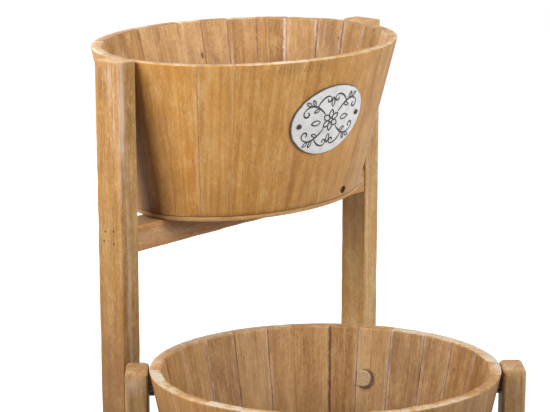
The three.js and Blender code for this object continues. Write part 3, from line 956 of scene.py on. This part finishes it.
def spiral(centre, start_radius, end_radius, start_angle, turn, steps=26):
    angles = np.linspace(start_angle, start_angle + turn, steps)
    radii = np.linspace(start_radius, end_radius, steps)
    return np.column_stack((centre[0] + radii * np.cos(angles), centre[1] + radii * np.sin(angles)))


def bezier(a, b, c, d, steps=22):
    t = np.linspace(0, 1, steps)[:, None]
    a, b, c, d = (np.asarray(p, float) for p in (a, b, c, d))
    return (1 - t) ** 3 * a + 3 * (1 - t) ** 2 * t * b + 3 * (1 - t) * t ** 2 * c + t ** 3 * d


def leaf(root, direction, length, width):
    """Closed outline of a leaf that starts at root."""
    direction = np.asarray(direction, float) / np.linalg.norm(direction)
    side = np.array((-direction[1], direction[0]))
    root = np.asarray(root, float)
    tip = root + direction * length
    near, far = root + direction * length * 0.25, tip - direction * length * 0.3
    one = bezier(root, near + side * width, far + side * width * 0.8, tip, 12)
    other = bezier(tip, far - side * width * 0.8, near - side * width, root, 12)
    return np.vstack((one, other[1:]))


def ornament():
    """Lines of a common rosette with leaf sprays and scrolls, each with its width, in millimetres from the
    badge's middle."""
    lines = []
    petals = 6
    for i in range(petals):
        angle = pi / 2 + i * 2 * pi / petals
        direction = (cos(angle), sin(angle))
        lines.append((leaf((direction[0] * 2.2, direction[1] * 2.2), direction, 7.4, 3.6), 0.85))
    lines.append((spiral((0, 0), 1.9, 1.9, 0, 2 * pi, 20), 0.9))
    for sign in (-1, 1):
        lines.append((leaf((12.5 * sign, 0), (sign, 0), 10.5, 3.2), 0.85))
        lines.append((leaf((0, 12.5 * sign), (0, sign), 8.5, 2.6), 0.85))
    for flip in (np.array((sx, sy)) for sx in (-1, 1) for sy in (-1, 1)):
        lines.append((bezier((7.5, 6.5), (14, 13), (22, 20), (31, 13.5)) * flip, 1.1))
        lines.append((spiral((28.6, 9.9), 4.3, 1.2, 0.98, -5.2) * flip, 1.0))
        lines.append((bezier((17.5, 14.6), (14.5, 20.5), (8.0, 24.5), (3.4, 21.8)) * flip, 1.0))
        lines.append((spiral((5.2, 19.3), 3.1, 0.9, 2.19, 4.9, 22) * flip, 0.9))
        for root, direction, length in (((20.5, 16.3), (0.5, 1.0), 6.2), ((24.6, 17.0), (1.0, 0.55), 6.4),
                                        ((15.0, 12.4), (1.0, -0.35), 6.6)):
            lines.append((leaf(np.array(root) * flip, np.array(direction) * flip, length, 1.9), 0.75))
    return lines


def make_badge_plate(tier, node):
    """The enamelled plate: a crowned face with a rolled edge, and a flat rim down to the wood."""
    around, across = 120, 13
    rings = [(i / across, 0.0) for i in range(1, across - 1)]
    rings += [((across - 1) / across, 0.00022), (0.985, 0.00028), (1.0, 0.0001), (1.0, -BADGE_SHEET)]
    points, seam = [badge_point(tier, 0, 0, 0)[0]], [FAR]
    for share, stand in rings:
        for angle in turns(around):
            x, y = share * BADGE_LENGTH / 2 * cos(angle), share * BADGE_HEIGHT / 2 * sin(angle)
            points.append(badge_point(tier, x, y, stand)[0])
            seam.append((1 - share) * BADGE_HEIGHT / 2)
    points.append(badge_point(tier, 0, 0, -BADGE_SHEET - BADGE_CROWN)[0])
    seam.append(0.0)
    last = 1 + (len(rings) - 1) * around
    faces = [(0, 1 + i, 1 + (i + 1) % around) for i in range(around)]
    # the rings spread outwards, so their faces turn the other way
    faces += [(1 + a, 1 + d, 1 + c, 1 + b) for a, b, c, d in tube_faces(len(rings), around, caps=False)]
    faces += [(len(points) - 1, last + (i + 1) % around, last + i) for i in range(around)]
    tier.piece(f"{node}_plate", points, faces, {"seam": seam}, ENAMEL, "enamel", [node], smooth=60)


def make_badge(tier):
    node = f"{tier.tub}_badge"
    make_badge_plate(tier, node)
    points, faces = [], []
    for path, width in ornament():
        rows, strip = ribbon(path / 1000, width * LINE_SHARE / 1000, LINE_HEIGHT)
        add_copy(points, faces, [badge_point(tier, *row)[0] for row in rows], strip)
    attributes = {"seam": np.full(len(points), FAR)}
    tier.piece(f"{node}_ornament", points, faces, attributes, BLACK_ENAMEL, "enamel", [node])
    for side, sign in SIDES:
        spot, normal = badge_point(tier, sign * BADGE_SCREW_SPAN / 2, 0.0, SEAT)
        points, faces = slotted_dome(radius=0.0024, height=0.0014, slot_width=0.0007, slot_depth=0.0004)
        screw = f"{node}_screw_{side}"
        head = turned(points, normal, spot)
        tier.piece(f"{screw}_head", head, faces, {}, BLACK_STEEL, "black_steel", [screw], smooth=30)


def slotted_dome(radius, height, slot_width, slot_depth):
    """A screw head with a cross recess, on its flat side at the origin."""
    steps = 40
    rings = ((1.0, 0.0), (1.0, 0.18), (0.93, 0.45), (0.8, 0.7), (0.62, 0.87), (0.42, 0.96), (0.2, 1.0))
    points = []
    for share, rise in rings:
        for angle in turns(steps):
            x, y = radius * share * cos(angle), radius * share * sin(angle)
            in_slot = min(abs(x), abs(y)) < slot_width / 2 and max(abs(x), abs(y)) < radius * 0.66
            points.append((x, y, height * rise - (slot_depth if in_slot and rise > 0.6 else 0.0)))
    points.append((0.0, 0.0, height - slot_depth))
    return points, dome_faces(len(rings), steps)


def turned(points, normal, spot):
    """Points made about the origin, with their Z turned to a normal, at a spot."""
    rotation = np.array(Vector((0, 0, 1)).rotation_difference(Vector(normal)).to_matrix())
    return np.asarray(points) @ rotation.T + np.asarray(spot)


# ------------------------ small fittings

def make_nails(tier):
    """Nail heads where the posts are nailed to the rail and the stretcher, as the photo shows them."""
    pattern = ((0.0052, 0.0070), (-0.0052, 0.0088), (0.0070, -0.0012), (-0.0050, -0.0024))
    steps, rings = 14, ((0.0010, -0.0004), (0.0010, 0.00004), (0.00084, 0.00009), (0.0004, 0.00003))
    head = [(radius * cos(angle), radius * sin(angle), stand)
            for radius, stand in rings for angle in turns(steps)]
    for side, sign in SIDES:
        face = sign * (FRAME_GAP / 2 + POST_WIDTH - 0.00012)     # the post's face, less its wear
        points, faces = [], []
        for level in tier.bars.values():
            for across, rise in pattern:
                nail = turned(head, (sign, 0, 0), (face, across, level + rise))
                add_copy(points, faces, nail, tube_faces(len(rings), steps))
        tier.piece(f"{tier.prefix}_nails_{side}", points, faces, {}, NAIL, "black_steel", smooth=30)


def make_hinge_screws():
    """Flush screws in the leaves' faces."""
    pivot = middle("hinge_top_pin")
    start = BARREL_RADIUS + SEAT + 0.003
    pattern = ((-0.019, 0.40), (0.0, 0.62), (0.019, 0.40))      # rise, and share of the leaf's width
    head, head_faces = slotted_dome(radius=0.0021, height=0.00014, slot_width=0.0006, slot_depth=0.0001)
    for tier, sign in ((UPPER, -1), (LOWER, 1)):
        points, faces = [], []
        for level in (LOWER.height - HINGE_INSET, HINGE_INSET):
            for rise, share in pattern:
                along = start + share * (LEAF_WIDTH - 0.003)
                spot = (np.array((pivot.x, pivot.y, level + rise)) + tier.along * along
                        - tier.across * sign * 0.0002)
                add_copy(points, faces, turned(head, tier.across * sign, spot), head_faces)
        tier.piece(f"hinge_{tier.prefix}_leaf_screws", points, faces, {}, BLACK_STEEL, "black_steel", smooth=30,
                   placed=True)


def finish_cad_nodes():
    """Materials of the CAD nodes that stay: hinges and clips."""
    for name, node in frame["nodes"].items():
        if name.startswith("hinge_") or "_clip_" in name:
            node.data.materials.clear()
            node.data.materials.append(BLACK_STEEL)


# ------------------------ stage

def area_light(name, place, size, power):
    """A square light that looks at the middle of the stand."""
    data = bpy.data.lights.new(name, "AREA")
    data.shape = "RECTANGLE"
    data.size = data.size_y = size
    data.energy = power
    light = new_object(name, data)
    light.location = place
    target = Vector((0.0, 0.0, 0.45))
    light.rotation_euler = (target - Vector(place)).to_track_quat("-Z", "Y").to_euler()


def make_floor():
    """A wide floor that looks white and throws back the light of a grey one."""
    half = 30.0
    mesh = bpy.data.meshes.new("floor")
    corners = [(-half, -half, 0), (half, -half, 0), (half, half, 0), (-half, half, 0)]
    mesh.from_pydata(corners, [], [(0, 1, 2, 3)])
    floor = new_object("floor", mesh)
    s = new_shader("floor_paint")
    diffuse = s.even("ShaderNodeBsdfDiffuse", 0.42)
    glow = s.even("ShaderNodeEmission", 1, Strength=0.86)
    s.show(diffuse, s.add("ShaderNodeAddShader", {0: diffuse, 1: glow}).outputs[0])
    mesh.materials.append(s.owner)


def make_stage():
    make_floor()
    world = bpy.context.scene.world = bpy.data.worlds.new("studio")
    s = Shader(world)
    s.show(*(s.even("ShaderNodeBackground", 1, Strength=strength) for strength in (0.32, 1.0)))
    area_light("key", (-1.60, 0.42, 1.30), 1.0, 36)
    area_light("fill", (0.48, -2.2, 1.58), 1.3, 55)
    area_light("top", (0.1, -0.1, 2.1), 1.2, 9)
    area_light("back", (0.9, 2.2, 1.4), 1.3, 18)


def make_camera():
    """The camera fitted to the photo's posts and rims, in pixels of the 550 by 412 photo."""
    focal, width = 1960.71, 550.0
    heading, pitch = radians(47.381), radians(13.911)
    data = bpy.data.cameras.new("photo_view")
    data.sensor_width = 36.0
    data.lens = focal / width * data.sensor_width
    camera = new_object("photo_view", data)
    camera.location = (-1.245151, -1.112207, 0.925610)
    forward = Vector((sin(heading) * cos(pitch), cos(heading) * cos(pitch), -sin(pitch)))
    camera.rotation_mode = "QUATERNION"
    camera.rotation_quaternion = forward.to_track_quat("-Z", "Y")
    data.clip_start, data.clip_end = 0.05, 100
    bpy.context.scene.camera = camera
    bpy.context.scene.view_settings.view_transform = "Standard"


make_camera()
make_posts()
make_rails()
for tub_tier in TIERS:
    make_tub(tub_tier)
    make_badge(tub_tier)
    make_nails(tub_tier)
make_hinge_screws()
finish_cad_nodes()
make_stage()
